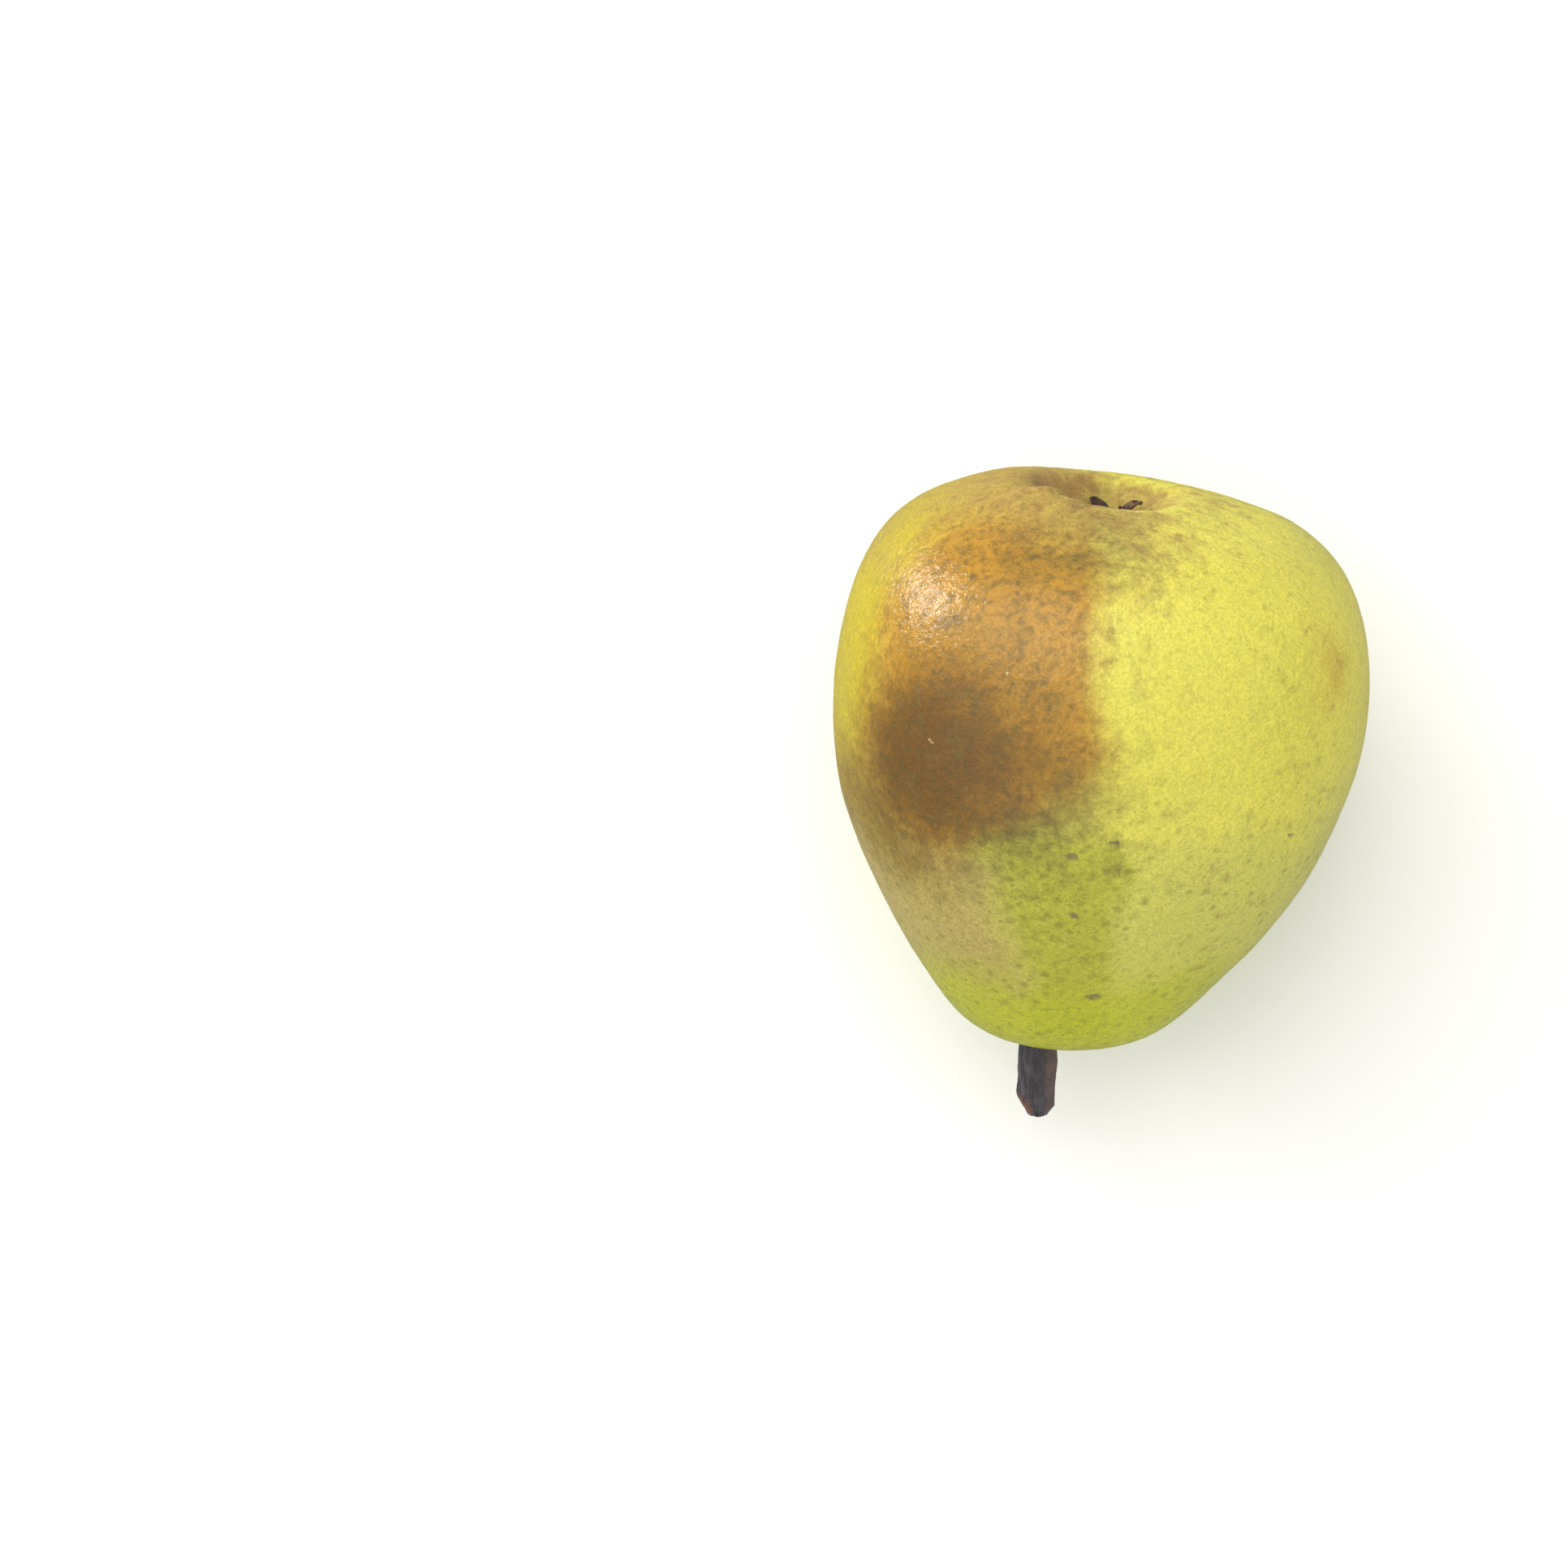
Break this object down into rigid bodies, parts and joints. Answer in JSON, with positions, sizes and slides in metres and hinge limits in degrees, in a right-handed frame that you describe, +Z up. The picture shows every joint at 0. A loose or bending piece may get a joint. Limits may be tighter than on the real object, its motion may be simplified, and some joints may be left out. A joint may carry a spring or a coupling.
{
  "type": "pear",
  "caption": "Whole ripe pear lying on its side, with a blunt neck, a short woody stem and dried sepals in a shallow crown basin.",
  "frame": {"origin": "on the table, under the middle of the pear's box as it lies", "axes": "+Z up from the table, +Y from the stem to the calyx along the lying pear, +X to the lower shoulder's side"},
  "size_m": [0.0624, 0.0774, 0.0628],
  "materials": {
    "skin": "yellow-green pear skin with an orange-brown blush, fine dark dots and a soft waxy gloss",
    "stem_bark": "dark grey-brown bark, matte, with pale specks and rust-brown edges",
    "dry_calyx": "dry brown leaf, matte"
  },
  "bodies": {
    "root": {"fruit": "skin", "stem": "stem_bark", "sepal_1": "dry_calyx", "sepal_2": "dry_calyx", "sepal_3": "dry_calyx", "sepal_4": "dry_calyx", "sepal_5": "dry_calyx", "stamen_tuft": "dry_calyx"}
  },
  "joints": []
}
